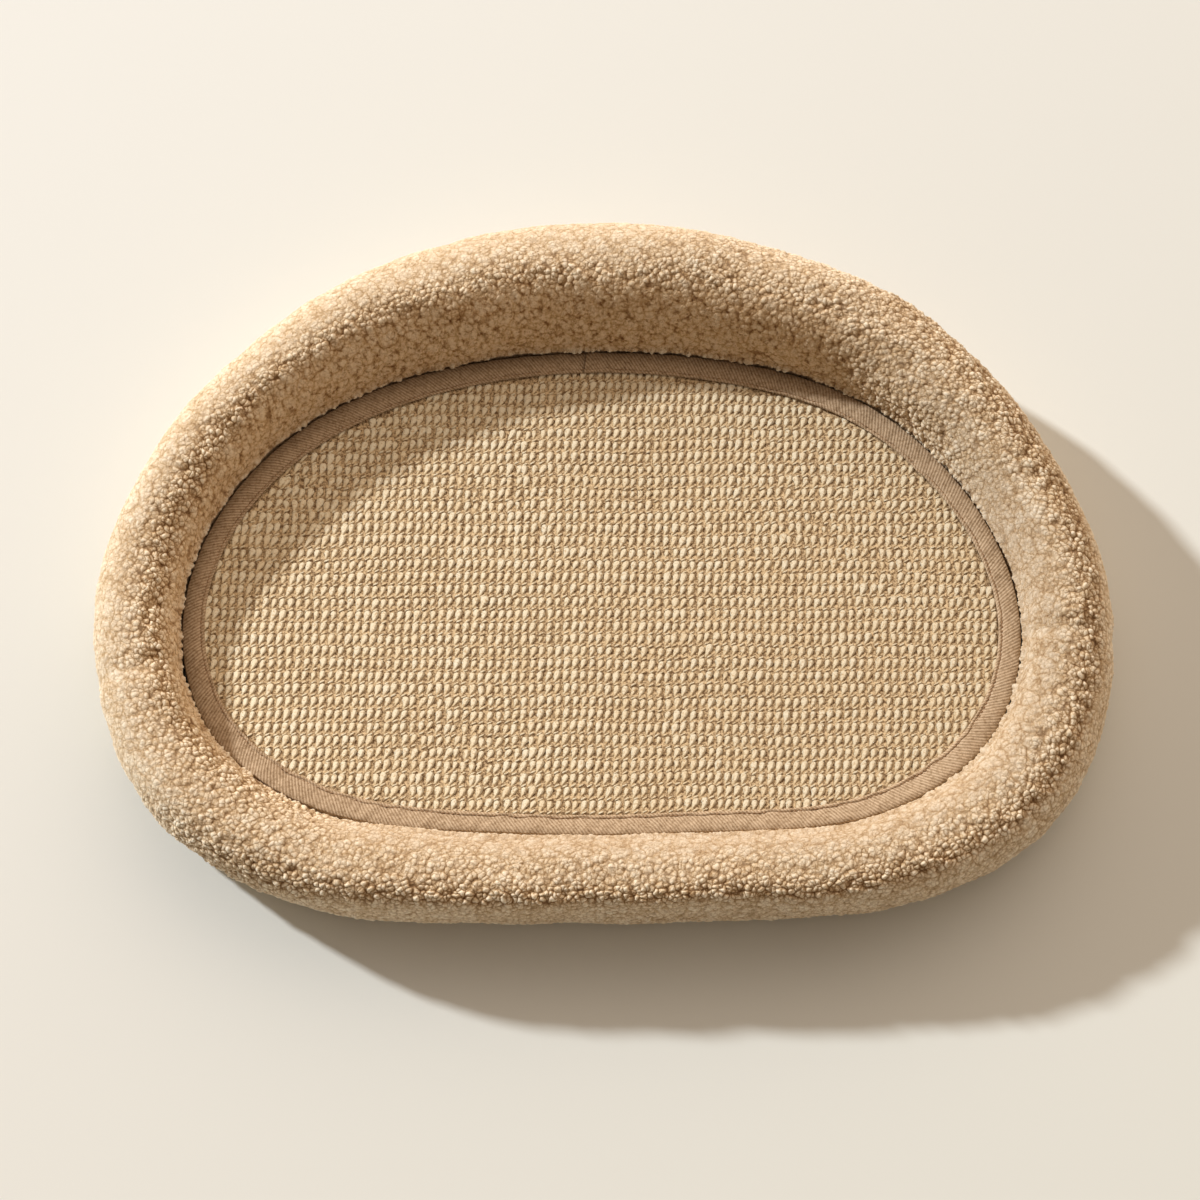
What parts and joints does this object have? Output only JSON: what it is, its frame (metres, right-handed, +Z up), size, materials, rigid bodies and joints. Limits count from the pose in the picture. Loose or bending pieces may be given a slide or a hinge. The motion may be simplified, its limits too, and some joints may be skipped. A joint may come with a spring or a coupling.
{
  "type": "cat lounger bed",
  "caption": "D-shaped oval cat bed: a curly fleece bolster, higher and thicker at the back, round a flat woven sisal scratching mat bound with brown twill tape, on a plain base pad",
  "frame": {"origin": "middle of the footprint, on the surface that the bed stands on", "axes": "+Z up; +X along the bed's length; the low front of the bolster faces -Y and the high back faces +Y"},
  "size_m": [0.585, 0.4318, 0.076],
  "materials": {
    "fleece": "curly teddy fleece, matt, beige",
    "pad_cloth": "plain woven cloth, matt, beige",
    "sisal": "woven sisal with a looped face, straw coloured",
    "twill_tape": "diagonal twill tape, matt, brown"
  },
  "bodies": {
    "root": {"bolster": "fleece", "base_pad": "pad_cloth", "sisal_mat": "sisal", "mat_binding": "twill_tape"}
  },
  "joints": []
}
